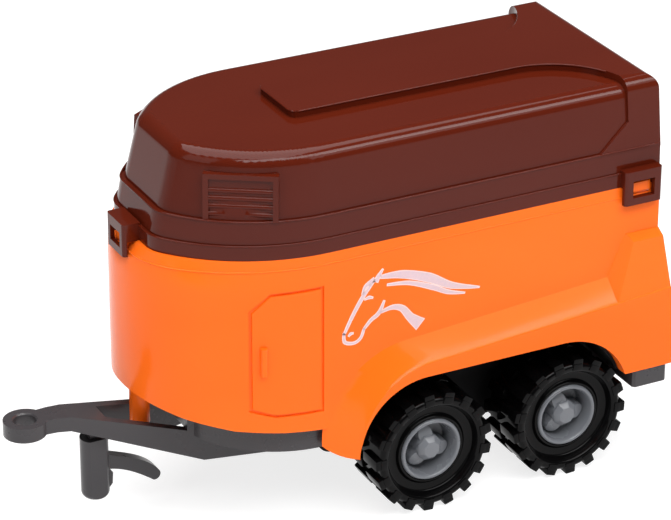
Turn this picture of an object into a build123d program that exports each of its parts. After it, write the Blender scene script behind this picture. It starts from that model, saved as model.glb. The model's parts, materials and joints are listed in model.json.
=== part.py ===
from build123d import *
import os
from math import atan2, cos, hypot, pi, radians, sin

# Toy horse trailer, in millimetres.
# X runs forward to the tow eye, Y to the left, Z up from the floor under the tyres.
# While a piece is drawn, x = 0 is midway between the axles. SHIFT then moves it so
# that the origin lies under the middle of the whole trailer.

# ---- driving dimensions ----
WHEEL_BASE = 86.0
TYRE_R = 36.0
TYRE_FACE = 76.0          # outer face of a tyre, from the centre plane
TYRE_W = 34.0
RIM_R = 20.4
AXLE_R = 2.0
AXLE_Z = TYRE_R
RUN_GAP = 0.06            # running gap between a wheel bore and its axle

WALL = 2.2
REAR_X = -99.0
TAIL_X = -106.0           # rearmost point, at the foot of the fenders
KNEE_X = 104.0            # the straight sides end here and the nose starts to curve
BODY_HALF = 70.0
BODY_NOSE = 194.8
BODY_LOW = 57.5
SHOULDER_Z = 150.0
SEAM_Z = 168.0            # the roof rests on the body here
ROOF_HALF = 69.3
ROOF_NOSE = 186.6
LIP_TOP = 176.4
CREASE_Z = 189.5
ROOF_Z = 224.6
SPINE_Z = 228.6
BAND_X = -79.0            # front edge of the raised band round the rear of the roof
SPINE_HALF = 20.5

FENDER_Y = 80.0
ARCH_Z = 86.4
WELL_Y = 38.0             # inner wall of the wheel wells
CARRIER_HALF = WELL_Y - WALL - 0.4
FLOOR_Z = 61.0
FLOOR_T = 3.0
RAIL_LOW = 34.0
PAN_NOSE = 163.0          # the pan under the floor is blunter than the nose above it
PAN_HALF = 64.6
PAN_LOW = 50.0
PAN_TOP = 64.2
BUMPER_LOW = 47.0
SILL_Z = BODY_LOW - 0.2   # top of the chassis where the shell rests on it

EYE_X = 251.4
EYE_R = 11.8
EYE_HOLE_R = 6.2
EYE_TOP = 71.6
EYE_LOW = 63.2
KINK_X = 228.0
KINK_HALF = 8.0
SPREAD = 0.215            # how fast the drawbar arms spread, in mm per mm of length

LEG_PIVOT = (212.0, 59.6)
PIN_R = 1.5
RAMP_PIVOT = (-101.2, 61.2)
RAMP_HALF = 54.0
RAMP_TOP = 158.0

SHIFT = -(EYE_X + EYE_R + TAIL_X) / 2


# ---- helpers ----
def save(part, name):
    part = Pos(SHIFT, 0, 0) * part
    part.label = name
    export_step(part, f"parts/{name}.step")


def box(x0, x1, y0, y1, z0, z1):
    block = Box(x1 - x0, y1 - y0, z1 - z0)
    return Pos((x0 + x1) / 2, (y0 + y1) / 2, (z0 + z1) / 2) * block


def both_sides(part):
    return part + mirror(part, about=Plane.XZ)


def y_rod(x, z, y0, y1, radius):
    rod = Cylinder(radius, y1 - y0)
    return Pos(x, (y0 + y1) / 2, z) * Rot(90, 0, 0) * rod


def x_z_prism(points, y0, y1):
    face = make_face(Polyline(*points, close=True))
    prism = extrude(face, y1 - y0)
    return Pos(0, y1, 0) * Rot(90, 0, 0) * prism


def arc_through(centre, radius, a0, a1):
    middle = (a0 + a1) / 2
    ends = [(centre[0] + radius * cos(a), centre[1] + radius * sin(a)) for a in (a0, middle, a1)]
    return ThreePointArc(*ends)


def plan(nose, half, tip_r, flat, z):
    """Outline seen from above: straight sides, one long and one short arc to a flat nose."""
    run = nose - tip_r - KNEE_X
    rise = half - flat
    long_r = (run ** 2 + rise ** 2 - tip_r ** 2) / (2 * (rise - tip_r))
    long_c = (KNEE_X, half - long_r)
    tip_c = (nose - tip_r, flat)
    meet = atan2(tip_c[1] - long_c[1], tip_c[0] - long_c[0])
    long_arc = arc_through(long_c, long_r, pi / 2, meet)
    tip_arc = arc_through(tip_c, tip_r, meet, 0)
    left = [Line((REAR_X, 0), (REAR_X, half)), Line((REAR_X, half), (KNEE_X, half)), long_arc, tip_arc]
    left.append(Line((nose, flat), (nose, 0)))
    right = [mirror(edge, about=Plane.XZ) for edge in left]
    return Pos(0, 0, z) * make_face(left + right)


def slab(nose, half, tip_r, flat, z0, z1):
    return extrude(plan(nose, half, tip_r, flat, z0), z1 - z0)


# ---- body shell ----
def shoulder(inset):
    """The body's outer form from the shoulder up, drawn in towards the seam."""
    sections = []
    for part_up in (0, 0.33, 0.67, 1):
        draw = part_up ** 2
        z = SHOULDER_Z + part_up * (SEAM_Z - SHOULDER_Z)
        nose = BODY_NOSE - 6.8 * draw - inset
        half = BODY_HALF - 0.8 * draw - inset
        sections.append(plan(nose, half, 60 - 38 * draw - inset, 1 + 17 * draw, z))
    return loft(sections, ruled=True)


def arch_wire(grow):
    """Wheel opening seen from the side: two arcs joined by a straight top."""
    front_c = (50.0, 46.0)
    rear_c = (-35.0, 43.4)
    front_r = 40.4 + grow
    rear_r = 43.0 + grow
    edges = [arc_through(front_c, front_r, 0, pi / 2)]
    edges.append(Line((50, ARCH_Z + grow), (-35, ARCH_Z + grow)))
    edges.append(arc_through(rear_c, rear_r, pi / 2, pi))
    edges.append(Polyline((-78 - grow, 43.4), (-78 - grow, 30), (90.4 + grow, 30), (90.4 + grow, 46)))
    return edges


def arch_prism(grow, y0, y1):
    prism = extrude(make_face(arch_wire(grow)), y1 - y0)
    return Pos(0, y1, 0) * Rot(90, 0, 0) * prism


def fender_section(y, centre, radius, rise, foot_z):
    """Side view of the fender at one y: round at the front, then a long gentle slope."""
    cx, cz = centre
    top = (cx, cz + radius)
    rear_top = (TAIL_X, cz + radius + rise)
    edges = [Line((cx + radius, foot_z), (cx + radius, cz)), arc_through(centre, radius, 0, pi / 2)]
    edges.append(Line(top, rear_top))
    edges.append(Polyline(rear_top, (TAIL_X, foot_z), (cx + radius, foot_z)))
    return Pos(0, y, 0) * Rot(90, 0, 0) * make_face(edges)


def fender():
    foot_z = 45.0
    inner = fender_section(68.5, (57, 57), 51.2, 12.2, foot_z)
    edge = fender_section(78.2, (45, 50), 46.0, 11.0, foot_z)
    face = fender_section(FENDER_Y, (45, 50), 44.6, 11.0, foot_z)
    form = loft([inner, edge, face], ruled=True)
    profile = [(68.5, 139.5), (70.5, 139.5), (75.2, 136), (FENDER_Y, 100), (FENDER_Y, 90), (68.5, 90)]
    pillar = Pos(TAIL_X, 0, 0) * extrude(Plane.YZ * make_face(Polyline(*profile, close=True)), 60)
    form += pillar - pillar_front()
    form -= box(-110, 60, 60, 90, 40, BODY_LOW)
    form -= foot_curve()
    lean = x_z_prism([(TAIL_X, 86), (REAR_X, 139), (REAR_X, 141), (TAIL_X - 1, 141), (TAIL_X - 1, 86)], 60, 90)
    return form - lean


def pillar_front():
    """Everything in front of the pillar, whose front face leans back and away to the side."""
    sections = []
    for y, low, high in ((60, -48.1, -71.1), (90, -70.6, -93.6)):
        side = Polyline((low, 88), (high, 141), (-20, 141), (-20, 88), close=True)
        sections.append(Pos(0, y, 0) * Rot(90, 0, 0) * make_face(side))
    return loft(sections, ruled=True)


def foot_curve():
    """Takes the corner off the front foot of the fender, so it sweeps up to the nose."""
    curve = ThreePointArc((88, 45), (99.5, 46.9), (109, 53.6))
    rest = Polyline((109, 53.6), (112, 53.6), (112, 40), (88, 40), (88, 45))
    cutter = extrude(make_face([curve, rest]), 35)
    return Pos(0, 92, 0) * Rot(90, 0, 0) * cutter


def door_outline(shrink):
    s = shrink
    front = 147.8 - s
    back = 107.7 + s
    points = [(back, 149.6 - s), (back, 74.8 + s), (134.6, 75.4 + s), (front, 79.9 + s)]
    points += [(front, 139.6 - s * 0.8), (137.2 - s * 0.3, 149.2 - s)]
    return points


def door_groove():
    ring = x_z_prism(door_outline(0), 40, 78) - x_z_prism(door_outline(1.7), 39, 79)
    skin = slab(BODY_NOSE, BODY_HALF, 60, 1, 70, SHOULDER_Z)
    skin -= slab(BODY_NOSE - GROOVE, BODY_HALF - GROOVE, 60 - GROOVE, 1, 69, SHOULDER_Z + 1)
    return ring & skin


GROOVE = 1.1


def door_handle():
    grip = box(138.7, 142.5, 61.5, 66.6, 101.6, 118)
    return fillet(grip.edges().filter_by(Axis.Z).group_by(Axis.Y)[-1], 1.2)


def clip_lug(length, depth):
    """A wedge that the roof's loop snaps over, its flat side to the wall at y = 0."""
    points = [(-3, 162.0), (0, 162.0), (depth, 164.5), (depth, LUG_TOP - 1.5), (-3, LUG_TOP)]
    wedge = extrude(Plane.YZ * make_face(Polyline(*points, close=True)), length)
    return Pos(-length / 2, 0, 0) * wedge


LUG_TOP = 171.2
CLIP_X = -85.8            # middle of the side clips
CLIP_HALF = 11.8
FRONT_CLIP_HALF = 10.6


def body_shell():
    low = slab(BODY_NOSE, BODY_HALF, 60, 1, BODY_LOW, SHOULDER_Z)
    inner = slab(BODY_NOSE - WALL, BODY_HALF - WALL, 60 - WALL, 1, BODY_LOW - 1, SEAM_Z - WALL)
    hollow_top = slab(ROOF_NOSE - 6.0, ROOF_HALF - 4.8, 18, 14, 100, SEAM_Z + 10)
    tongue = slab(ROOF_NOSE - 3.6, ROOF_HALF - 2.8, 18, 16, SEAM_Z - 1, SEAM_Z + 4)
    tongue -= box(REAR_X - 1, REAR_X + WALL + 0.4, -80, 80, SEAM_Z, SEAM_Z + 5)
    outer = low + shoulder(0) + tongue
    shell = outer - (inner & (slab(BODY_NOSE - WALL, 80, 62, 1, 50, SHOULDER_Z) + shoulder(WALL)))
    shell -= hollow_top
    sweep = [(104, 63.6), (130, 65.6), (155, 68.6), (178, 74.6), (197, 80.9), (210, 86), (210, 50), (104, 50)]
    under = x_z_prism(sweep, -90, 90)
    shell -= under
    lining = arch_prism(WALL, WELL_Y - WALL, BODY_HALF - 1) & box(-98, 100, 0, 90, BODY_LOW, 100)
    wings = both_sides(fender() + lining)
    shell += wings
    shell -= both_sides(arch_prism(0, WELL_Y, 95))
    shell -= both_sides(box(92.5, 104, 20, 66, 40, 60))
    shell -= both_sides(x_z_prism([(84, 47), (101, 55), (101, 82), (84, 80)], 20, 68) - arch_prism(WALL, 0, 99))
    shell -= both_sides(door_groove())
    shell += both_sides(door_handle())
    opening = box(REAR_X - 1, REAR_X + WALL + 1, -RAMP_HALF - 0.8, RAMP_HALF + 0.8, 40, RAMP_TOP + 0.8)
    shell -= opening
    side_lug = Pos(CLIP_X, BODY_HALF - 0.6, 0) * clip_lug(12, 1.6)
    shell += both_sides(side_lug)
    front_lug = Pos(188.4, 0, 0) * Rot(0, 0, -90) * clip_lug(11.6, 4.4)
    shell += front_lug
    post = Pos(184.5, 0, 67) * Cylinder(5.6, 26)
    post = post + Pos(178.9, 0, 74) * Box(9, 3, 12)
    shell += post & slab(BODY_NOSE - 1, BODY_HALF, 59, 1, 40, 120)
    shell += box(181, BODY_NOSE - 1.4, -6, 6, 79.4, 84)
    for x, y, low in SCREWS:
        boss = Cylinder(4, BOSS_TOP - low) - Cylinder(1.3, BOSS_TOP - low)
        rib = box(x - 1, x + 1, y + 3.2, BODY_HALF - 1, PAN_TOP + 1, BOSS_TOP)
        shell += both_sides(Pos(x, y, (BOSS_TOP + low) / 2) * boss + rib)
    return shell


BOSS_TOP = 79.0
SCREWS = [(108, 48, FLOOR_Z), (-90, 62, BODY_LOW)]   # left-hand bosses: x, y and foot


# ---- roof ----
def roof_wall(grow, top):
    foot = plan(180.4 + grow, 67.2 + grow, 19, 18, CREASE_Z - 1.5)
    head = plan(171.2 + grow, 62.0 + grow, 16, 18, top)
    return loft([foot, head], ruled=True)


def roof_outer():
    lip = slab(ROOF_NOSE, ROOF_HALF, 20, 18, SEAM_Z, LIP_TOP)
    band_foot = plan(ROOF_NOSE - 1.5, ROOF_HALF - 0.6, 19.5, 18, LIP_TOP - 1)
    band_head = plan(ROOF_NOSE - 4.2, ROOF_HALF - 1.0, 19, 18, CREASE_Z)
    band = loft([band_foot, band_head], ruled=True)
    wall = roof_wall(0, ROOF_Z)
    wall = fillet(wall.edges().group_by(Axis.Z)[-1], SHOULDER_R)
    raised = roof_wall(1.4, SPINE_Z)
    raised = fillet(raised.edges().group_by(Axis.Z)[-1], SHOULDER_R)
    return lip + band + wall + (raised & raised_mask())


SHOULDER_R = 8.5


def raised_mask():
    """The spine, its flare to the rear, and the band down each side, seen from above."""
    flare_r = 46.0
    flare_x = BAND_X + flare_r
    side = SPINE_HALF + flare_r
    tip = (101.5, SPINE_HALF - 4.5)
    half = [Line((101.5, 0), tip), ThreePointArc(tip, (100.3, SPINE_HALF - 1.3), (97.0, SPINE_HALF))]
    half.append(Line((97.0, SPINE_HALF), (flare_x, SPINE_HALF)))
    half.append(arc_through((flare_x, side), flare_r, -pi / 2, -pi))
    half.append(Polyline((BAND_X, side), (BAND_X, 80), (REAR_X - 1, 80), (REAR_X - 1, 0)))
    outline = make_face(half + [mirror(edge, about=Plane.XZ) for edge in half])
    mask = extrude(Pos(0, 0, CREASE_Z - 2) * outline, 60)
    brace = [(BAND_X - 1, 205.5), (-61, CREASE_Z), (-61, CREASE_Z - 3), (BAND_X - 1, CREASE_Z - 3)]
    mask += x_z_prism(brace, 50, 80) + x_z_prism(brace, -80, -50)
    return mask


def louvre():
    """Vent panel on the front quarter: a frame open at the foot round four low ridges."""
    width = 39.6
    height = 25.6
    panel = Box(width, 7, height) - Pos(0, 3.5, -2.8) * Box(width - 6, 3.6, height)
    for row in range(4):
        ridge = Rot(0, 90, 0) * Cylinder(1.5, width - 6)
        panel += Pos(0, 1.4, 3.6 - row * 4.3) * ridge
    foot = Pos(0, 0, height / 2) * panel
    return Pos(146.8, 52.1, CREASE_Z - 0.4) * Rot(0, 0, -32.5) * Rot(4, 0, 0) * foot


def clip_loop(half, reach, thick, low, bar):
    """Hanging loop round a window, with its back at y = 0 and its outer corners rounded."""
    loop = box(-half, half, 0, reach, low, LOOP_TOP)
    loop = fillet(loop.edges().filter_by(Axis.Z).group_by(Axis.Y)[-1], 2.0)
    loop -= box(-half + bar, half - bar, -1, reach + 1, low + LOOP_FOOT, WINDOW_TOP)
    loop -= box(-half - 1, half + 1, -1, reach - thick, low - 1, SEAM_Z)
    return loop


LUG_SLOT = 6.8
LOOP_TOP = 178.2
LOOP_FOOT = 4.2
WINDOW_TOP = 172.4


def roof_cover():
    solid = roof_outer()
    solid += both_sides(louvre())
    lip_in = slab(ROOF_NOSE - 2.4, ROOF_HALF - 2.0, 18, 17, SEAM_Z - 1, LIP_TOP)
    band_in = loft([plan(ROOF_NOSE - 4.4, ROOF_HALF - 3.0, 17, 17, LIP_TOP - 2),
                    plan(ROOF_NOSE - 7.4, ROOF_HALF - 4.6, 16, 17, CREASE_Z - 1)], ruled=True)
    wall_in = roof_wall(-WALL, ROOF_Z - WALL)
    wall_in = fillet(wall_in.edges().group_by(Axis.Z)[-1], SHOULDER_R - WALL)
    hollow = lip_in + band_in + wall_in
    hollow = hollow - box(REAR_X - 1, REAR_X + WALL, -80, 80, 160, 240)
    solid -= hollow
    solid -= both_sides(box(CLIP_X - LUG_SLOT, CLIP_X + LUG_SLOT, 62, 80, SEAM_Z - 1, LUG_TOP + 0.6))
    solid -= box(180, 190, -LUG_SLOT, LUG_SLOT, SEAM_Z - 1, LUG_TOP + 0.6)
    side_loop = clip_loop(CLIP_HALF, 6.6, 3.2, 158.2, 5.0)
    solid += both_sides(Pos(CLIP_X, ROOF_HALF - 1.4, 0) * side_loop)
    front_loop = clip_loop(FRONT_CLIP_HALF, 10.2, 2.6, 159.6, 4.4)
    solid += Pos(ROOF_NOSE - 0.8, 0, 0) * Rot(0, 0, -90) * front_loop
    return solid


# ---- chassis ----
def arm_side():
    """Side view shared by both drawbar arms and the rails behind them."""
    top = [(246, EYE_TOP), (KINK_X + 8, EYE_TOP), (KINK_X, 71.0), (166, 53.6), (166, FLOOR_Z), (98, FLOOR_Z)]
    low = [(98, RAIL_LOW), (157, RAIL_LOW), (KINK_X, 62.2), (KINK_X + 8, EYE_LOW), (246, EYE_LOW)]
    return x_z_prism(top + low, -60, 60)


def rail_line(x, inset=0):
    return KINK_HALF + SPREAD * (KINK_X - x) - inset


def drawbar():
    half = [(246, 0), (246, 6.8), (240, 7.2), (KINK_X, KINK_HALF), (98, rail_line(98)), (98, 0)]
    outline = make_face(Polyline(*half, close=True))
    form = extrude(outline, 120)
    opening = [(207.5, 0), (207.5, 6.6), (98, rail_line(98, 4.4)), (90, rail_line(98, 4.4)), (90, 0)]
    form -= Pos(0, 0, -1) * extrude(make_face(Polyline(*opening, close=True)), 122)
    form = both_sides(form) & arm_side()
    eye = Pos(EYE_X, 0, (EYE_TOP + EYE_LOW) / 2) * Cylinder(EYE_R, EYE_TOP - EYE_LOW)
    hole = Pos(EYE_X, 0, EYE_TOP - 5) * Cylinder(EYE_HOLE_R, 30)
    lead_in = Pos(EYE_X, 0, EYE_TOP - 0.4) * Cone(EYE_HOLE_R - 0.2, EYE_HOLE_R + 1, 1.2)
    return form + eye - hole - lead_in


def chassis():
    floor = slab(PAN_NOSE, PAN_HALF, 28, 16, FLOOR_Z - FLOOR_T, FLOOR_Z)
    skirt = slab(PAN_NOSE, PAN_HALF, 28, 16, PAN_LOW, PAN_TOP)
    skirt -= slab(PAN_NOSE - 2.4, PAN_HALF - 2.4, 25.6, 16, PAN_LOW - 1, PAN_TOP + 1)
    tray = (floor + skirt) & box(94.5, 200, -80, 80, 40, 90)
    middle = box(-97, 95, -CARRIER_HALF, CARRIER_HALF, FLOOR_Z - FLOOR_T, FLOOR_Z)
    bumper = box(-103.6, -81.6, -79.4, 79.4, BUMPER_LOW, SILL_Z)
    bumper = chamfer(bumper.edges().filter_by(Axis.Z), 1.5)
    bumper -= box(-101, -84, -76.8, 76.8, BUMPER_LOW - 1, SILL_Z - 2.8)
    frame = tray + middle + bumper + drawbar()
    frame += both_sides(box(-95, -84, 33.4, 35.4, BUMPER_LOW, FLOOR_Z - 1))
    frame -= y_rod(*LEG_PIVOT, -7, 7, PIN_R)
    frame -= box(203, 226, -LEG_SLOT, LEG_SLOT, 50, LEG_PIVOT[1] + NECK_R + 0.4)
    for x, y, low in SCREWS:
        frame -= both_sides(Pos(x, y, low) * Cylinder(1.7, 10))
    knuckle = Rot(90, 0, 0) * Cylinder(2.9, 10)
    for y in RAMP_KNUCKLES:
        frame += Pos(RAMP_PIVOT[0], y, RAMP_PIVOT[1]) * knuckle
        frame += box(RAMP_PIVOT[0], -96, y - 5, y + 5, BODY_LOW - 1, RAMP_PIVOT[1])
    frame -= y_rod(*RAMP_PIVOT, -60, 60, PIN_R)
    return frame


RAMP_KNUCKLES = (-38, 38)
NECK_R = 3.4
LEG_SLOT = 3.5


# ---- running gear ----
def axle_carrier():
    """Black tub under the floor that holds both axles."""
    top = FLOOR_Z - FLOOR_T
    tub = box(-81, 94, -CARRIER_HALF, CARRIER_HALF, 27, top)
    tub = fillet(tub.edges().filter_by(Axis.Y).group_by(Axis.Z)[0], 9)
    tub -= box(-78, 91.5, -32.6, 32.6, 20, top - 3)
    for x in (-WHEEL_BASE / 2, WHEEL_BASE / 2):
        for side in (-1, 1):
            y0, y1 = sorted((side * 32, side * 40.2))
            tub += y_rod(x, AXLE_Z, y0, y1, 5)
        tub += box(x - 3.2, x + 3.2, -33, 33, AXLE_Z - 4, top - 1)
        tub -= y_rod(x, AXLE_Z, -50, 50, AXLE_R)
    return tub


def wheel_liner(side):
    """Black box lining one pair of wheel arches, set back behind the fender's edge."""
    room = arch_prism(-LINER_T, WELL_Y + LINER_T, 90)
    liner = arch_prism(0, WELL_Y, LINER_EDGE) & box(-90, 95, 0, 90, BODY_LOW, 100)
    liner -= room
    if side < 0:
        liner = mirror(liner, about=Plane.XZ)
    return liner


LINER_T = 1.4
LINER_EDGE = 72.0


def axle(x):
    return y_rod(x, AXLE_Z, -CAP_BACK + 2.5, CAP_BACK - 2.5, AXLE_R)


def push_nuts():
    nuts = Part()
    for x in (-WHEEL_BASE / 2, WHEEL_BASE / 2):
        for side in (-1, 1):
            y0, y1 = sorted((side * (HUB_END + 0.5), side * (HUB_END + 1.5)))
            nuts += y_rod(x, AXLE_Z, y0, y1, 3.6) - y_rod(x, AXLE_Z, -80, 80, AXLE_R)
    return nuts


def tyre(x, side):
    """Tyre with chunky lugs on both shoulders. side is +1 on the left, -1 on the right."""
    inner = TYRE_FACE - TYRE_W
    mid = (TYRE_FACE + inner) / 2
    half = TYRE_W / 2
    points = [(RIM_R, -half + 5.5), (RIM_R + 2.2, -half + 3.2), (27.5, -half + 3.2), (29.6, -half)]
    points += [(32.2, -half + 0.6), (33.2, -half + 4), (33.2, half - 4), (32.2, half - 0.6)]
    points += [(29.6, half), (27.5, half - 3.2), (RIM_R + 2.2, half - 3.2), (RIM_R, half - 5.5)]
    ring = revolve(make_face(Polyline(*points, close=True)), Axis.Y)
    lug = Pos(TYRE_R - 2.6, half * 0.5 + 0.8, 0) * Box(4.6, half - 1.2, 6.6)
    for step in range(LUGS):
        angle = step * 360 / LUGS
        ring += Rot(0, angle, 0) * lug
        ring += Rot(0, angle + 180 / LUGS, 0) * mirror(lug, about=Plane.XZ)
    ring = ring & (Rot(90, 0, 0) * Cylinder(TYRE_R, TYRE_W))
    return Pos(x, side * mid, AXLE_Z) * ring


LUGS = 17
HUB_END = 65.4
CAP_BACK = 70.0           # the cap sits on the hub cup here


def rim(x, side):
    """Wheel centre: flanged barrel, three-petal disc and a hub bored for the axle."""
    face = TYRE_FACE - 3.4
    back = TYRE_FACE - TYRE_W + 3.4
    barrel = y_rod(0, 0, back, face, RIM_R) - y_rod(0, 0, back - 1, face + 1, 16.0)
    disc = y_rod(0, 0, face - 11, face - 8.6, 16.2)
    hub = y_rod(0, 0, 41, HUB_END, 5.4)
    cup = y_rod(0, 0, 58, CAP_BACK, 7.4)
    centre = barrel + disc + hub + cup
    for arm in range(3):
        petal = y_rod(0, 10.2, face - 9, face - 4.2, 5.0)
        centre += Rot(0, 90 + arm * 120, 0) * petal
    centre -= y_rod(0, 0, HUB_END, 80, 5.6)
    centre -= y_rod(0, 0, 0, 90, AXLE_R + RUN_GAP)
    if side < 0:
        centre = mirror(centre, about=Plane.XZ)
    return Pos(x, 0, AXLE_Z) * centre


def hub_cap(x, side):
    """Eight-sided cap with bevelled flats, pressed into the hub over the axle end."""
    plug = y_rod(0, 0, CAP_BACK - 1.6, CAP_BACK, 5.6)
    base = extrude(RegularPolygon(8.4, 8), 3.0)
    base = chamfer(base.faces().sort_by(Axis.Z)[-1].edges(), 2.2, 2.2)
    cap = plug + Pos(0, CAP_BACK, 0) * Rot(-90, 0, 0) * base
    if side < 0:
        cap = mirror(cap, about=Plane.XZ)
    return Pos(x, 0, AXLE_Z) * cap


# ---- ramp and leg ----
def ramp():
    x, z = RAMP_PIVOT
    panel = box(REAR_X - 2.6, REAR_X - 0.2, -RAMP_HALF, RAMP_HALF, z + 4.2, RAMP_TOP)
    panel += box(REAR_X - 0.4, REAR_X + 0.8, -RAMP_HALF + 3, RAMP_HALF - 3, z + 8, RAMP_TOP - 3)
    for row in range(7):
        height = z + 16 + row * 11.5
        panel += box(REAR_X + 0.6, REAR_X + 1.8, -RAMP_HALF + 6, RAMP_HALF - 6, height, height + 1.6)
    for y in RAMP_SPANS:
        panel += y_rod(x, z, y - 7, y + 7, 2.9)
        panel += box(REAR_X - 2.6, REAR_X - 0.2, y - 7, y + 7, z + 1.6, z + 5)
    panel -= y_rod(x, z, -60, 60, PIN_R + RUN_GAP)
    grip = box(REAR_X - 5.6, REAR_X - 2.4, -14, 14, RAMP_TOP - 12, RAMP_TOP - 7)
    grip -= box(REAR_X - 4.2, REAR_X - 2.0, -12, 12, RAMP_TOP - 13, RAMP_TOP - 8.6)
    return panel + grip


RAMP_SPANS = (-22, 0, 22)


def support_leg():
    """Prop under the drawbar: flat-sided column, rounded foot and a curved lever."""
    px, pz = LEG_PIVOT
    foot = Cylinder(7.8, LEG_TOP - FOOT_Z)
    foot = fillet(foot.edges().group_by(Axis.Z)[0], 4.0)
    column = Pos(px, 0, (LEG_TOP + FOOT_Z) / 2) * foot
    column &= box(px - 8, px + 8, -6.2, 6.2, 0, 60)
    neck = box(px - NECK_R, px + NECK_R, -3.2, 3.2, LEG_TOP - 2, pz) + y_rod(px, pz, -3.2, 3.2, NECK_R)
    upper = [(208, 40.8), (190, 33.4), (180, 27.5), (175.2, 22.4)]
    lower = [(178.6, 17), (185, 21.6), (193, 26.4), (208, 31)]
    tip = ThreePointArc(upper[-1], (174.9, 18.6), lower[0])
    edges = [Spline(*upper), tip, Spline(*lower), Line(lower[-1], upper[0])]
    lever = Pos(0, 3.2, 0) * Rot(90, 0, 0) * extrude(make_face(edges), 6.4)
    heel = x_z_prism([(207, 16.6), (203, 21.4), (202.6, 28), (207, 34)], -3.2, 3.2)
    leg = column + neck + lever + heel
    return leg - y_rod(px, pz, -10, 10, PIN_R + RUN_GAP)


LEG_TOP = 51.4
FOOT_Z = 14.3


def screws():
    """Self-tapping screws from below, one solid each, through the chassis into the shell's bosses."""
    group = Part()
    for x, y, foot in SCREWS:
        low = foot - 3
        head = Pos(x, y, low - 0.9) * Cylinder(2.9, 1.8)
        slot = Pos(x, y, low - 1.6) * (Box(4.4, 0.8, 1) + Box(0.8, 4.4, 1))
        shank = Pos(x, y, (low + BOSS_TOP) / 2 - 1) * Cylinder(1.3, BOSS_TOP - low - 2)
        group += both_sides(head - slot + shank)
    return group


def main():
    os.makedirs("parts", exist_ok=True)
    save(body_shell(), "body_shell")
    save(roof_cover(), "roof_cover")
    save(chassis(), "chassis")
    save(axle_carrier(), "axle_carrier")
    save(wheel_liner(1), "wheel_liner_left")
    save(wheel_liner(-1), "wheel_liner_right")
    save(ramp(), "rear_ramp")
    save(y_rod(*RAMP_PIVOT, -46, 46, PIN_R), "ramp_hinge_pin")
    save(support_leg(), "support_leg")
    save(y_rod(*LEG_PIVOT, -6.8, 6.8, PIN_R), "leg_pivot_pin")
    save(screws(), "body_screws")
    save(push_nuts(), "axle_push_nuts")
    for end, x in (("front", WHEEL_BASE / 2), ("rear", -WHEEL_BASE / 2)):
        save(axle(x), f"{end}_axle")
        for hand, side in (("left", 1), ("right", -1)):
            save(tyre(x, side), f"tyre_{end}_{hand}")
            save(rim(x, side), f"rim_{end}_{hand}")
            save(hub_cap(x, side), f"hub_cap_{end}_{hand}")


main()
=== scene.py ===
import json
from math import atan2, cos, pi, radians, sin

import bmesh
import bpy
from mathutils import Matrix, Vector


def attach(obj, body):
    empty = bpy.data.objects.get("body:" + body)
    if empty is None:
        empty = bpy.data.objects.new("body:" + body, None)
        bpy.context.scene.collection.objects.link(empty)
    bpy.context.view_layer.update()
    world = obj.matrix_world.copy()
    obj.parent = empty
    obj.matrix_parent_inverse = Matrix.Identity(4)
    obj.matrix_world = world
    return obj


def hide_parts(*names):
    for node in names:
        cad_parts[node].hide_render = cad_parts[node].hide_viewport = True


# Toy horse trailer in moulded plastic. Sizes are in millimetres, and MM turns them into metres.
# The materials and the studio are in metres from the start.

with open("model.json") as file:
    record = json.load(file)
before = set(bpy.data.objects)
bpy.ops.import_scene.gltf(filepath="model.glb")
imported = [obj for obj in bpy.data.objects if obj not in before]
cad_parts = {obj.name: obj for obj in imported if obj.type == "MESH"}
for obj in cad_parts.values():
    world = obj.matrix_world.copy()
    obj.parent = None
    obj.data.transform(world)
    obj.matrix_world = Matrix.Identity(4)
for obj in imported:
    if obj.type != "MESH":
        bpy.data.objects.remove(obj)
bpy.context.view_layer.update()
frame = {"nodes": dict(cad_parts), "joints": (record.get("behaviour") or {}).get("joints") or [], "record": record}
MM = 0.001
NODES = frame["nodes"]
BODY_OF = {node: body for body, nodes in frame["record"]["behaviour"]["bodies"].items() for node in nodes}
JOINTS = {joint["name"]: joint for joint in frame["joints"]}


# ---- shader maths ----
class Wire:
    """One output of a shader node, with arithmetic that adds Math nodes."""

    def __init__(self, paint, socket):
        self.paint = paint
        self.socket = socket

    def math(self, operation, *values):
        inputs = dict(enumerate(values))
        return self.paint.node("ShaderNodeMath", {"operation": operation}, inputs)

    def __add__(self, other):
        return self.math("ADD", self, other)

    def __sub__(self, other):
        return self.math("SUBTRACT", self, other)

    def __rsub__(self, other):
        return self.math("SUBTRACT", other, self)

    def __mul__(self, other):
        return self.math("MULTIPLY", self, other)

    __radd__ = __add__
    __rmul__ = __mul__

    def clipped(self):
        return self.math("MINIMUM", self.math("MAXIMUM", self, 0.0), 1.0)


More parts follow.
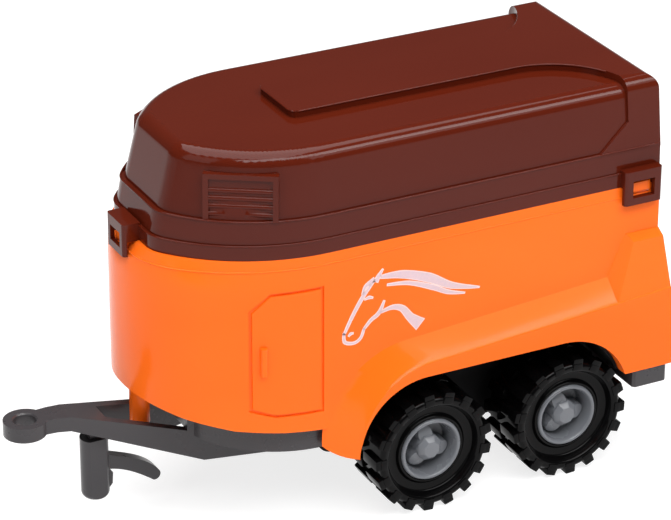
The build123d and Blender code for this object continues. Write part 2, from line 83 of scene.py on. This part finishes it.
class Paint:
    """A material, with methods that add nodes to it."""

    def __init__(self, name):
        self.material = bpy.data.materials.new(name)
        self.material.use_nodes = True
        self.tree = self.material.node_tree
        self.tree.nodes.clear()
        self.place = self.node("ShaderNodeTexCoord", output="Object")

    def node(self, kind, settings=None, inputs=None, output=0):
        made = self.tree.nodes.new(kind)
        for key, value in (settings or {}).items():
            setattr(made, key, value)
        for key, value in (inputs or {}).items():
            if isinstance(value, Wire):
                self.tree.links.new(value.socket, made.inputs[key])
            else:
                made.inputs[key].default_value = value
        return Wire(self, made.outputs[output]) if made.outputs else made

    def noise(self, scale, detail=3.0, rough=0.5, stretch=None):
        place = self.place
        if stretch:
            place = self.node("ShaderNodeMapping", None, {"Vector": place, "Scale": stretch})
        inputs = {"Vector": place, "Scale": scale, "Detail": detail, "Roughness": rough}
        return self.node("ShaderNodeTexNoise", None, inputs)

    def mix(self, factor, first, second):
        """Blends two colours, each a wire or three numbers, by the factor."""
        first, second = ((*c, 1.0) if isinstance(c, tuple) else c for c in (first, second))
        inputs = {0: factor, 6: first, 7: second}
        return self.node("ShaderNodeMix", {"data_type": "RGBA"}, inputs, output=2)

    def bump(self, height, distance, strength=1.0, under=None):
        inputs = {"Height": height, "Distance": distance, "Strength": strength}
        if under:
            inputs["Normal"] = under
        return self.node("ShaderNodeBump", None, inputs)

    def finish(self, **sockets):
        inputs = {key.replace("_", " "): value for key, value in sockets.items()}
        for key, value in inputs.items():
            if isinstance(value, tuple) and len(value) == 3:
                inputs[key] = (*value, 1.0)
        shader = self.node("ShaderNodeBsdfPrincipled", None, inputs)
        self.node("ShaderNodeOutputMaterial", None, {"Surface": shader})
        return self.material


def scratches(paint, amount):
    """Faint handling marks: thin lines where two stretched noises cross their middle value."""
    fine = paint.noise(55, 2.0, 0.5, (1.0, 1.0, 9.0)) - 0.5
    line = 1 - (fine.math("ABSOLUTE", fine) * 70).clipped()
    patch = ((paint.noise(18, 2.0) - 0.56) * 9).clipped()
    return line * patch * amount


def moulded(name, light, dark, roughness, grain, gloss=0.25):
    """Injection-moulded plastic: flow-marked colour, slightly wavy gloss, faint handling marks."""
    paint = Paint(name)
    flow = ((paint.noise(9, 2.0, 0.45, (0.5, 1.0, 1.6)) - 0.35) * 3.2).clipped()
    marks = scratches(paint, 0.35)
    cloud = paint.noise(34, 4.0, 0.6)
    skin = paint.noise(1500, 2.0, 0.6)
    wave = paint.noise(42, 1.0, 0.3)
    shape = paint.bump(wave, 0.0004, 0.10)
    shape = paint.bump(skin, 0.00006, grain, shape)
    return paint.finish(Base_Color=paint.mix(flow, dark, light),
                        Roughness=(cloud - 0.5) * 0.10 + roughness + marks * 0.3,
                        Normal=shape, Specular_IOR_Level=gloss)


def steel():
    paint = Paint("drawn_steel")
    streak = paint.noise(60, 4.0, 0.6, (20.0, 1.0, 20.0))
    spots = ((paint.noise(220, 3.0) - 0.58) * 6).clipped()
    return paint.finish(Base_Color=paint.mix(spots, (0.60, 0.60, 0.61), (0.33, 0.31, 0.30)),
                        Roughness=streak * 0.22 + 0.18 + spots * 0.2, Metallic=1.0,
                        Normal=paint.bump(streak, 0.00005, 0.5))


def print_ink(name, light, dark):
    """Pad-printed emblem: pale ink with a speckled cover."""
    paint = Paint(name)
    speck = ((paint.noise(700, 3.0, 0.7) - 0.42) * 5).clipped()
    cloud = paint.noise(60, 2.0)
    ink = paint.mix(cloud, light, dark)
    return paint.finish(Base_Color=paint.mix(speck * 0.15, ink, (0.95, 0.62, 0.50)),
                        Roughness=cloud * 0.15 + 0.38, Normal=paint.bump(speck, 0.00003, 0.3))


ORANGE = moulded("orange_shell", (1.0, 0.162, 0.012), (0.97, 0.142, 0.008), 0.17, 0.06, 0.15)
BROWN = moulded("brown_roof", (0.086, 0.0100, 0.0034), (0.074, 0.0078, 0.0025), 0.10, 0.05, 0.20)
GREY = moulded("grey_chassis", (0.050, 0.045, 0.048), (0.038, 0.035, 0.038), 0.28, 0.25, 0.35)
# painted shade: near-black plastic for the parts under the trailer and inside the wheel arches, made this dark to
# stand for the deep shade there
SHADE_BLACK = moulded("painted_shade_black", (0.006, 0.006, 0.0065), (0.004, 0.004, 0.0045), 0.5, 0.3, 0.1)
TYRE = moulded("black_tyre", (0.0026, 0.0025, 0.0026), (0.0016, 0.0015, 0.0017), 0.13, 0.08, 0.10)
SILVER = moulded("grey_wheel", (0.160, 0.168, 0.184), (0.130, 0.136, 0.150), 0.27, 0.12, 0.4)
STEEL = steel()
INK = print_ink("pad_print_fill", (0.60, 0.43, 0.47), (0.66, 0.49, 0.55))
INK_EDGE = print_ink("pad_print_edge", (0.90, 0.62, 0.58), (0.93, 0.68, 0.66))


# ---- mesh helpers ----
def linked(name, mesh, material=None):
    piece = bpy.data.objects.new(name, mesh)
    bpy.context.scene.collection.objects.link(piece)
    if material:
        mesh.materials.clear()
        mesh.materials.append(material)
    return piece


def baked(piece):
    """Turns a piece with modifiers into a plain mesh at the origin."""
    bpy.context.view_layer.update()
    graph = bpy.context.evaluated_depsgraph_get()
    mesh = bpy.data.meshes.new_from_object(piece.evaluated_get(graph))
    mesh.transform(piece.matrix_world)
    old = piece.data
    piece.modifiers.clear()
    piece.data = mesh
    piece.matrix_world = Matrix.Identity(4)
    if isinstance(old, bpy.types.Mesh) and not old.users:
        bpy.data.meshes.remove(old)
    return piece


def smoothed(piece, degrees=32):
    """Smooth shading that stays crisp at corners sharper than the given angle."""
    mesh = piece.data
    mesh.polygons.foreach_set("use_smooth", [True] * len(mesh.polygons))
    mesh.set_sharp_from_angle(angle=radians(degrees))
    return piece


def softened(node, material, width=0.45, degrees=28, segments=2):
    """A copy of a CAD node with the small edge radii that a mould leaves. It stands for the node."""
    source = NODES[node].data.copy()
    shape = bmesh.new()
    shape.from_mesh(source)
    bmesh.ops.remove_doubles(shape, verts=shape.verts, dist=1e-6)
    bmesh.ops.dissolve_limit(shape, angle_limit=radians(0.1), verts=shape.verts, edges=shape.edges)
    shape.to_mesh(source)
    shape.free()
    piece = linked(node + "_moulding", source, material)
    bevel = piece.modifiers.new("edge_radius", "BEVEL")
    bevel.width = width * MM
    bevel.segments = segments
    bevel.limit_method = "ANGLE"
    bevel.angle_limit = radians(degrees)
    bevel.use_clamp_overlap = True
    bevel.miter_outer = "MITER_ARC"
    baked(piece)
    smoothed(piece)
    weighted = piece.modifiers.new("even_shading", "WEIGHTED_NORMAL")
    weighted.mode = "FACE_AREA_WITH_ANGLE"
    weighted.keep_sharp = True
    baked(piece)
    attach(piece, BODY_OF[node])
    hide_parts(node)
    return piece


# ---- materials on the CAD nodes ----
# the finish of every node whose name starts so; the axles, pins, nuts and screws are left, and are steel
# axle_carrier and wheel_liner take the near-black painted shade, which stands for the deep shade between the
# wheels and inside the arches
FINISHES = {"body_shell": ORANGE, "rear_ramp": ORANGE, "roof_cover": BROWN, "chassis": GREY,
            "support_leg": GREY, "axle_carrier": SHADE_BLACK, "wheel_liner": SHADE_BLACK, "tyre": TYRE, "rim": SILVER,
            "hub_cap": SILVER}

for node, thing in NODES.items():
    finish = next((paint for start, paint in FINISHES.items() if node.startswith(start)), STEEL)
    thing.data.materials.clear()
    thing.data.materials.append(finish)

softened("body_shell", ORANGE, 0.5)
softened("roof_cover", BROWN, 0.8)
softened("chassis", GREY, 0.5)
softened("support_leg", GREY, 0.6)
softened("axle_carrier", SHADE_BLACK, 0.5)


# ---- wheels ----
TYRE_R = 36.0
TYRE_HALF = 17.0
LUGS = 17
LUG = (6.6, 15.6, 4.4)    # a lug: round the tyre, across it and outwards
LUG_INSET = 7.9           # its middle, in from the tyre's side
LUG_LIP = (6.4, 2.2, 4.0)  # the end of a lug, folded over the tyre's shoulder
LIP_INSET = 0.8
LIP_DROP = 6.9            # the lip's foot, in from the tyre's outside
FIRST_LUG = 0.1           # turn of the first lug round the tyre, in radians
ARMS = 3
FIRST_ARM = radians(12)
ARM_HALF = 4.8            # an arm's half width
ARM_REACH = 14.4          # its round end, out from the axle
ARM_FOOT = 4.6            # its root, inside the hub
ARM_FACE = 10.4           # its face at the hub, out from the wheel's centre plane
TURNS = {"front_left": 0, "rear_left": 8, "front_right": 31, "rear_right": 17}  # in degrees


def turned(name, outline, steps=96):
    """A body of revolution about Y from (radius, y) points off the axis, its normals facing out."""
    shape = bmesh.new()
    rows = []
    for radius, depth in outline:
        angles = [2 * pi * k / steps for k in range(steps)]
        rows.append([shape.verts.new((radius * cos(a), depth, radius * sin(a))) for a in angles])
    for first, second in zip(rows, rows[1:]):
        for k in range(steps):
            after = (k + 1) % steps
            shape.faces.new([first[k], first[after], second[after], second[k]])
    bmesh.ops.remove_doubles(shape, verts=shape.verts, dist=1e-5)
    bmesh.ops.recalc_face_normals(shape, faces=shape.faces)
    mesh = bpy.data.meshes.new(name)
    shape.to_mesh(mesh)
    shape.free()
    return linked(name, mesh)


def rounded(points, radius, steps=3):
    """The closed outline with each corner turned into a small arc, smaller where its sides are short."""
    count = len(points)
    result = []
    for k in range(count):
        before, here, after = (Vector(points[(k + d) % count]) for d in (-1, 0, 1))
        reach = min(radius, (before - here).length * 0.45, (after - here).length * 0.45)
        start = here + (before - here).normalized() * reach
        end = here + (after - here).normalized() * reach
        for step in range(steps + 1):
            t = step / steps
            result.append(tuple(start * (1 - t) ** 2 + here * 2 * t * (1 - t) + end * t ** 2))
    return result


def block(name, size, taper=1.0, bevel=0.7, segments=2):
    """A small rounded block standing on z = 0. Its top is narrower by the taper."""
    shape = bmesh.new()
    bmesh.ops.create_cube(shape, size=1.0)
    for vert in shape.verts:
        narrow = taper if vert.co.z > 0 else 1.0
        vert.co = Vector((vert.co.x * size[0] * narrow, vert.co.y * size[1], (vert.co.z + 0.5) * size[2]))
    bmesh.ops.bevel(shape, geom=shape.edges[:], offset=bevel, segments=segments, profile=0.6, affect="EDGES")
    bmesh.ops.recalc_face_normals(shape, faces=shape.faces)
    mesh = bpy.data.meshes.new(name)
    shape.to_mesh(mesh)
    shape.free()
    return linked(name, mesh)


class Tree:
    """A geometry node tree with named inputs, ended by Realize Instances and Set Material."""

    def __init__(self, name, sizes):
        self.group = bpy.data.node_groups.new(name, "GeometryNodeTree")
        self.group.interface.new_socket("Geometry", in_out="INPUT", socket_type="NodeSocketGeometry")
        self.group.interface.new_socket("Geometry", in_out="OUTPUT", socket_type="NodeSocketGeometry")
        self.keys = {}
        for label, kind in sizes.items():
            made = self.group.interface.new_socket(label, in_out="INPUT", socket_type=kind)
            self.keys[label] = made.identifier
        self.entry = self.group.nodes.new("NodeGroupInput")

    def node(self, kind, settings=None, inputs=None):
        made = self.group.nodes.new(kind)
        for key, value in (settings or {}).items():
            setattr(made, key, value)
        for key, value in (inputs or {}).items():
            if isinstance(value, bpy.types.NodeSocket):
                self.group.links.new(value, made.inputs[key])
            elif isinstance(value, bpy.types.Node):
                self.group.links.new(value.outputs[0], made.inputs[key])
            else:
                made.inputs[key].default_value = value
        return made

    def finish(self, geometry, material):
        real = self.node("GeometryNodeRealizeInstances", None, {"Geometry": geometry})
        painted = self.node("GeometryNodeSetMaterial", None, {"Geometry": real, "Material": material})
        self.node("NodeGroupOutput", None, {"Geometry": painted})
        return self

    def run(self, piece, **values):
        modifier = piece.modifiers.new(self.group.name, "NODES")
        modifier.node_group = self.group
        for label, value in values.items():
            modifier[self.keys[label]] = value
        return baked(piece)


def ring_tree(name, material):
    """Copies of a part stood round a ring about Y, joined to the piece that they are added to."""
    tree = Tree(name, {"Part": "NodeSocketObject", "Count": "NodeSocketInt", "Radius": "NodeSocketFloat",
                       "Depth": "NodeSocketFloat", "Phase": "NodeSocketFloat"})
    entry = tree.entry.outputs
    line = tree.node("GeometryNodeMeshLine", None, {"Count": entry["Count"], "Offset": (0.0, 0.0, 0.0)})
    index = tree.node("GeometryNodeInputIndex")
    share = tree.node("ShaderNodeMath", {"operation": "DIVIDE"}, {0: index, 1: entry["Count"]})
    turn = tree.node("ShaderNodeMath", {"operation": "MULTIPLY_ADD"},
                     {0: share, 1: 2 * pi, 2: entry["Phase"]})
    side = tree.node("ShaderNodeMath", {"operation": "SINE"}, {0: turn})
    front = tree.node("ShaderNodeMath", {"operation": "COSINE"}, {0: turn})
    across = tree.node("ShaderNodeMath", {"operation": "MULTIPLY"}, {0: side, 1: entry["Radius"]})
    upward = tree.node("ShaderNodeMath", {"operation": "MULTIPLY"}, {0: front, 1: entry["Radius"]})
    spot = tree.node("ShaderNodeCombineXYZ", None, {0: across, 1: entry["Depth"], 2: upward})
    tilt = tree.node("ShaderNodeCombineXYZ", None, {1: turn})
    placed = tree.node("GeometryNodeSetPosition", None, {"Geometry": line, "Position": spot})
    thing = tree.node("GeometryNodeObjectInfo", None, {"Object": entry["Part"]})
    copies = tree.node("GeometryNodeInstanceOnPoints", None,
                       {"Points": placed, "Instance": thing.outputs["Geometry"], "Rotation": tilt})
    both = tree.node("GeometryNodeJoinGeometry", None, {"Geometry": copies})
    tree.group.links.new(entry["Geometry"], both.inputs["Geometry"])
    return tree.finish(both, material)


def tyre_outline():
    """Closed section of the tyre as (radius, depth): bead, recessed sidewall, raised shoulder and tread."""
    half = [(18.0, 9.0), (18.3, 12.8), (19.8, 13.2), (21.2, 10.8), (26.2, 11.4), (28.0, 16.2),
            (31.2, TYRE_HALF), (33.0, 15.4), (33.2, 6)]
    return rounded(half + [(r, -d) for r, d in reversed(half)], 0.9)


def tyre_master():
    outline = tyre_outline()
    tread = turned("tyre_master", outline + outline[:1])
    lug = block("lug_master", LUG, 0.9, 0.75)
    lip = block("lug_lip_master", LUG_LIP, 0.92, 0.6)
    tree = ring_tree("lug_ring", TYRE)
    rings = ((lug, TYRE_R - LUG[2], TYRE_HALF - LUG_INSET), (lip, TYRE_R - LIP_DROP, TYRE_HALF - LIP_INSET))
    for part, radius, depth in rings:
        values = {"Count": LUGS, "Part": part, "Radius": radius}
        tree.run(tread, **values, Depth=depth, Phase=FIRST_LUG)
        tree.run(tread, **values, Depth=-depth, Phase=FIRST_LUG + pi / LUGS)
        bpy.data.objects.remove(part)
    return tread


def rim_master():
    """Wheel centre: beaded flange, sloping bowl, three rounded arms and a round hub."""
    edge = TYRE_HALF - 3.6
    outline = [(2.06, -17.8), (5.4, -17.8), (5.4, -6), (14.2, -5.2), (14.6, -13.6), (18.3, -13.6),
               (18.3, 11.6), (18.3, edge), (17.0, edge + 0.9), (15.9, edge), (15.2, 9.6), (14.0, 0.6),
               (7.6, 0.2), (7.4, 10.4), (5.8, 10.6), (5.6, 6.6), (2.06, 6.6)]
    outline = rounded(outline, 0.7)
    hub = turned("rim_master", outline + outline[:1])
    arm = arm_master()
    tree = ring_tree("arm_ring", SILVER)
    tree.run(hub, Part=arm, Count=ARMS, Radius=0.0, Depth=0.0, Phase=FIRST_ARM)
    bpy.data.objects.remove(arm)
    return hub


def arm_master():
    """One arm of the wheel centre: a rounded tongue from the hub to the bowl, its face falling outwards."""
    shape = bmesh.new()
    steps, bend, fall, slimmer, shorter = 8, 8, 0.45, 0.86, 0.94
    middle = ARM_REACH - ARM_HALF
    angles = [pi * k / steps for k in range(1, steps)]
    plan = [(-ARM_HALF, ARM_FOOT), (-ARM_HALF, middle)]
    plan += [(-ARM_HALF * cos(a), middle + ARM_HALF * sin(a)) for a in angles]
    plan += [(ARM_HALF, middle), (ARM_HALF, ARM_FOOT)]
    base = [shape.verts.new((x, 0.0, z)) for x, z in plan]
    top = []
    for x, z in plan:
        height = ARM_FACE - max(0, z - bend) * fall
        top.append(shape.verts.new((x * slimmer, height, ARM_FOOT + (z - ARM_FOOT) * shorter)))
    shape.faces.new(base)
    shape.faces.new(top)
    for k in range(len(plan)):
        after = (k + 1) % len(plan)
        shape.faces.new([base[k], base[after], top[after], top[k]])
    bmesh.ops.recalc_face_normals(shape, faces=shape.faces)
    rim_edges = [edge for edge in shape.edges if all(vert in top for vert in edge.verts)]
    bmesh.ops.bevel(shape, geom=rim_edges, offset=0.7, segments=3, profile=0.6, affect="EDGES")
    mesh = bpy.data.meshes.new("arm_master")
    shape.to_mesh(mesh)
    shape.free()
    return linked("arm_master", mesh)


def cap_master():
    """Eight-sided hub cap: a short drum, eight sloping flats and a flat face, its edges rounded."""
    shape = bmesh.new()
    levels = [(7.6, 9.4), (7.6, 11.2), (4.9, 14.0)]
    rows = []
    for radius, depth in levels:
        angles = [(2 * k + 1) * pi / 8 for k in range(8)]
        rows.append([shape.verts.new((radius * cos(a), depth, radius * sin(a))) for a in angles])
    for first, second in zip(rows, rows[1:]):
        for k in range(8):
            shape.faces.new([first[k], first[(k + 1) % 8], second[(k + 1) % 8], second[k]])
    shape.faces.new(rows[0])
    shape.faces.new(rows[-1])
    bmesh.ops.recalc_face_normals(shape, faces=shape.faces)
    bmesh.ops.bevel(shape, geom=shape.edges[:], offset=0.35, segments=2, profile=0.6, affect="EDGES")
    mesh = bpy.data.meshes.new("cap_master")
    shape.to_mesh(mesh)
    shape.free()
    return linked("cap_master", mesh)


def set_on_axle(master, name, node, material, degrees):
    """A copy of a wheel part, moved to its axle end and mirrored for the right-hand side."""
    mesh = master.data.copy()
    joint = JOINTS["wheel_spin_" + name]
    centre = Vector(joint["pos_m"])
    side = 1 if centre.y > 0 else -1
    turn = Matrix.Rotation(radians(TURNS[name]), 4, "Y")
    mesh.transform(Matrix.Translation(centre) @ Matrix.Diagonal((MM, side * MM, MM, 1)) @ turn)
    if side < 0:
        mesh.flip_normals()
    piece = linked(node + "_finished", mesh, material)
    smoothed(piece, degrees)
    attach(piece, BODY_OF[node])
    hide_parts(node)
    return piece


def wheels():
    tyre, rim, cap = tyre_master(), rim_master(), cap_master()
    for name in TURNS:
        set_on_axle(tyre, name, "tyre_" + name, TYRE, 35)
        set_on_axle(rim, name, "rim_" + name, SILVER, 35)
        set_on_axle(cap, name, "hub_cap_" + name, SILVER, 20)
    for master in (tyre, rim, cap):
        bpy.data.objects.remove(master)


wheels()


# ---- roof beads ----
ROOF_REAR = -177.0
ROOF_KNEE = 25.4          # the roof's sides start to curve in here
LIP_Z = 176.2             # the roof's lip
CREASE_Z = 189.4          # the crease where the roof's wall turns into its shoulder
SPINE_Z = 228.0           # the spine's upper edge
SHELL_LINE_Z = 161.8      # the fine step in the shell below the roof's lip
SPINE_HALF = 20.3
SPINE_TIP = 22.9          # front end of the raised spine
FLARE_X = -111.6          # the spine starts to flare out to the rear here
FLARE_R = 46.2
FLARE_SWEEP = radians(66)


def roof_path(nose, half, tip_r, flat, steps=20):
    """An outline of the roof from above, from the left rear corner round the nose to the right one.

    nose and half are its front end and half width, tip_r is the radius of a front corner, and flat is
    half the width between the centres of the two front corners.
    """
    run = nose - tip_r - ROOF_KNEE
    rise = half - flat
    long_r = (run ** 2 + rise ** 2 - tip_r ** 2) / (2 * (rise - tip_r))
    meet = atan2(flat - half + long_r, run)
    left = [(ROOF_REAR, half)]
    for k in range(steps + 1):
        a = pi / 2 + (meet - pi / 2) * k / steps
        left.append((ROOF_KNEE + long_r * cos(a), half - long_r + long_r * sin(a)))
    for k in range(1, steps + 1):
        a = meet * (1 - k / steps)
        left.append((nose - tip_r + tip_r * cos(a), flat + tip_r * sin(a)))
    return left + [(x, -y) for x, y in reversed(left)]


def bead_tree(material):
    """A round bead swept along the edges it is given."""
    tree = Tree("rolled_bead", {"Radius": "NodeSocketFloat"})
    entry = tree.entry.outputs
    path = tree.node("GeometryNodeMeshToCurve", None, {"Mesh": entry["Geometry"]})
    ring = tree.node("GeometryNodeCurvePrimitiveCircle", None,
                     {"Resolution": 10, "Radius": entry["Radius"]})
    swept = tree.node("GeometryNodeCurveToMesh", None,
                      {"Curve": path, "Profile Curve": ring, "Fill Caps": True})
    return tree.finish(swept, material)


def spine_path(steps=12):
    """The spine's upper edge, from the left end of its flare round the front to the right end."""
    left = []
    for k in range(steps + 1):
        a = FLARE_SWEEP * (1 - k / steps)
        left.append((FLARE_X - FLARE_R * sin(a), SPINE_HALF + FLARE_R * (1 - cos(a))))
    corner, cut = 4.4, 1.2
    left += [(SPINE_TIP - corner, SPINE_HALF), (SPINE_TIP - cut, SPINE_HALF - cut),
             (SPINE_TIP, SPINE_HALF - corner)]
    return left + [(x, -y) for x, y in reversed(left)]


def bead_along(path, height, name, radius, tree):
    """A level bead along a path of (x, y) points."""
    points = [(x * MM, y * MM, height * MM) for x, y in path]
    mesh = bpy.data.meshes.new(name)
    mesh.from_pydata(points, [(k, k + 1) for k in range(len(points) - 1)], [])
    return smoothed(tree.run(linked(name, mesh), Radius=radius * MM), 60)


def roof_beads():
    tree = bead_tree(BROWN)
    for name, height, path in (("lip_bead", LIP_Z, roof_path(107.7, 69.1, 19.8, 18)),
                               ("crease_bead", CREASE_Z, roof_path(103.8, 68.3, 19.0, 18)),
                               ("spine_bead", SPINE_Z, spine_path())):
        bead = bead_along(path, height, name, 0.6, tree)
        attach(bead, "roof")


def shell_line():
    """The fine step that runs round the shell below the roof's lip."""
    path = roof_path(113.15, 69.5, 43.6, 8.3)
    line = bead_along(path, SHELL_LINE_Z, "shell_line", 0.5, bead_tree(ORANGE))
    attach(line, "trailer")


roof_beads()
shell_line()


# ---- printed emblem ----
EMBLEM_X = -64.6          # rear end of the print along the wall
EMBLEM_Z = 111.0          # level of its lower edge
WALL_Y = 70.0
SUNK = -0.05              # the back of a stroke, just inside the wall
STROKES = [
    # path from end to end, as (forward, up) points, then the stroke's width at each point
    ([(60, 36.4), (47, 35), (31, 29.4), (17, 21.7), (0, 16.8)], (1.4, 4, 4.9, 3.2, 0.3)),
    ([(56, 30.8), (43, 29), (29, 23.4), (19, 18.2), (9, 15.4)], (0.7, 1.8, 2.5, 1.9, 0.3)),
    ([(60, 15.4), (53, 16.8), (47, 14.7), (42, 8.4), (36, 2.8)], (0.7, 2.1, 3, 4, 7)),
    ([(64, 35), (71, 26.6), (77, 16.8), (82, 7)], (0.7, 1.8, 1.5, 0.9)),
    ([(82, 7.7), (81.4, 2.4), (76, 0.7), (72, 2.8), (70, 7.7)], (0.9, 1.3, 1.1, 1.1, 0.9)),
    ([(70, 7.7), (66, 11.9), (61, 15.4), (58, 21.7)], (0.9, 1.5, 1.9, 0.5)),
    ([(63, 34.3), (61.5, 37.1), (59, 40.6)], (2.5, 1.9, 0.3)),
    ([(64, 35.7), (69, 32.9), (71, 28.7)], (2.3, 1.6, 0.3)),
    ([(69.5, 25.2), (67, 25.8), (65, 25.2)], (0.4, 1.3, 0.4)),
    ([(79, 5.6), (78, 6.6), (76.6, 6.7)], (0.4, 1.1, 0.4)),
]


def along(path, widths, steps=7):
    """Points and widths on a smooth curve through the given points."""
    result = []
    for k in range(len(path) - 1):
        near = [Vector(path[min(max(k + d, 0), len(path) - 1)]) for d in (-1, 0, 1, 2)]
        for step in range(steps + (k == len(path) - 2)):
            t = step / steps
            spot = 0.5 * (2 * near[1] + (near[2] - near[0]) * t
                          + (2 * near[0] - 5 * near[1] + 4 * near[2] - near[3]) * t ** 2
                          + (3 * near[1] - near[0] - 3 * near[2] + near[3]) * t ** 3)
            result.append((spot, widths[k] * (1 - t) + widths[k + 1] * t))
    return result


def add_stroke(shape, path, widths, grow, proud):
    """One brush stroke of the print, as a very thin closed slab on the wall."""
    line = along(path, widths)
    rows = []
    for k, (spot, width) in enumerate(line):
        ahead = line[min(k + 1, len(line) - 1)][0] - line[max(k - 1, 0)][0]
        ahead.normalize()
        across = Vector((-ahead.y, ahead.x)) * (width / 2 + grow)
        if k in (0, len(line) - 1):
            spot = spot + ahead * (grow if k else -grow)
        corners = []
        for edge in (spot + across, spot - across):
            for depth in (SUNK, proud):
                spot_mm = Vector((EMBLEM_X + edge.x, WALL_Y + depth, EMBLEM_Z + edge.y))
                corners.append(shape.verts.new(spot_mm * MM))
        rows.append([corners[0], corners[1], corners[3], corners[2]])
    for first, second in zip(rows, rows[1:]):
        for k in range(4):
            shape.faces.new([first[k], first[(k + 1) % 4], second[(k + 1) % 4], second[k]])
    shape.faces.new(rows[0])
    shape.faces.new(rows[-1])


def emblem(side, name, grow, proud, ink):
    """All strokes of the horse head on one wall. side is +1 on the left, -1 on the right."""
    shape = bmesh.new()
    for path, widths in STROKES:
        add_stroke(shape, path, widths, grow, proud)
    bmesh.ops.scale(shape, vec=(1, side, 1), verts=shape.verts)
    bmesh.ops.recalc_face_normals(shape, faces=shape.faces)
    mesh = bpy.data.meshes.new(name)
    shape.to_mesh(mesh)
    shape.free()
    piece = linked(name, mesh, ink)
    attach(piece, "trailer")


for hand, side in (("left", 1), ("right", -1)):
    emblem(side, f"emblem_{hand}_edge", 0.45, 0.06, INK_EDGE)
    emblem(side, f"emblem_{hand}_fill", 0.0, 0.12, INK)


# ---- studio, in metres ----
MIDDLE = Vector((0, 0, 0.1))


def studio_floor():
    paint = Paint("studio_paper")
    cloud = paint.noise(3, 2.0)
    paper = paint.finish(Base_Color=paint.mix(cloud, (0.34, 0.34, 0.34), (0.36, 0.36, 0.36)), Roughness=0.9,
                         Emission_Color=(1.0, 1.0, 1.0), Emission_Strength=0.80)
    mesh = bpy.data.meshes.new("studio_floor")
    edge = 6.0
    corners = [(-edge, -edge, 0), (edge, -edge, 0), (edge, edge, 0), (-edge, edge, 0)]
    mesh.from_pydata(corners, [], [(0, 1, 2, 3)])
    linked("studio_floor", mesh, paper)


def soft_box(name, place, size, power):
    """A white rectangular lamp, turned to face the middle of the trailer."""
    light = bpy.data.lights.new(name, "AREA")
    light.shape = "RECTANGLE"
    light.size, light.size_y = size
    light.energy = power
    lamp = bpy.data.objects.new(name, light)
    bpy.context.scene.collection.objects.link(lamp)
    lamp.location = place
    lamp.rotation_euler = (MIDDLE - Vector(place)).to_track_quat("-Z", "Y").to_euler()


def studio_lights():
    world = bpy.data.worlds.new("studio_air")
    world.use_nodes = True
    air = world.node_tree.nodes["Background"]
    air.inputs["Color"].default_value = (1.0, 1.0, 1.0, 1.0)
    air.inputs["Strength"].default_value = 0.12
    bpy.context.scene.world = world
    soft_box("overhead", (0.1, -0.1, 1.9), (2.0, 1.8), 44)
    soft_box("shoulder_strip", (-0.05, 0.80, 1.20), (1.7, 0.36), 15)
    soft_box("left_key", (1.6, 0.5, 0.9), (0.7, 1.2), 3.0)
    soft_box("fender_strip", (-0.85, 1.30, 1.30), (1.1, 0.6), 4.5)


def camera():
    """Long lens, looking down at the left side from a little towards the front."""
    turn = radians(27.312)
    tilt = radians(26.125)
    roll = radians(0.141)
    place = Matrix.Translation((0.7203, 1.4213, 0.9092))
    back = Vector((sin(turn) * cos(tilt), cos(turn) * cos(tilt), sin(tilt)))
    level = Vector((-cos(turn), sin(turn), 0))
    rise = back.cross(level)
    right = level * cos(roll) + rise * sin(roll)
    up = back.cross(right)
    lens = bpy.data.cameras.new("camera")
    lens.lens = 173.8
    lens.sensor_width = 36.0
    eye = bpy.data.objects.new("camera", lens)
    bpy.context.scene.collection.objects.link(eye)
    eye.matrix_world = place @ Matrix((right, up, back)).transposed().to_4x4()
    bpy.context.scene.camera = eye


studio_floor()
studio_lights()
camera()
bpy.context.scene.view_settings.view_transform = "Standard"
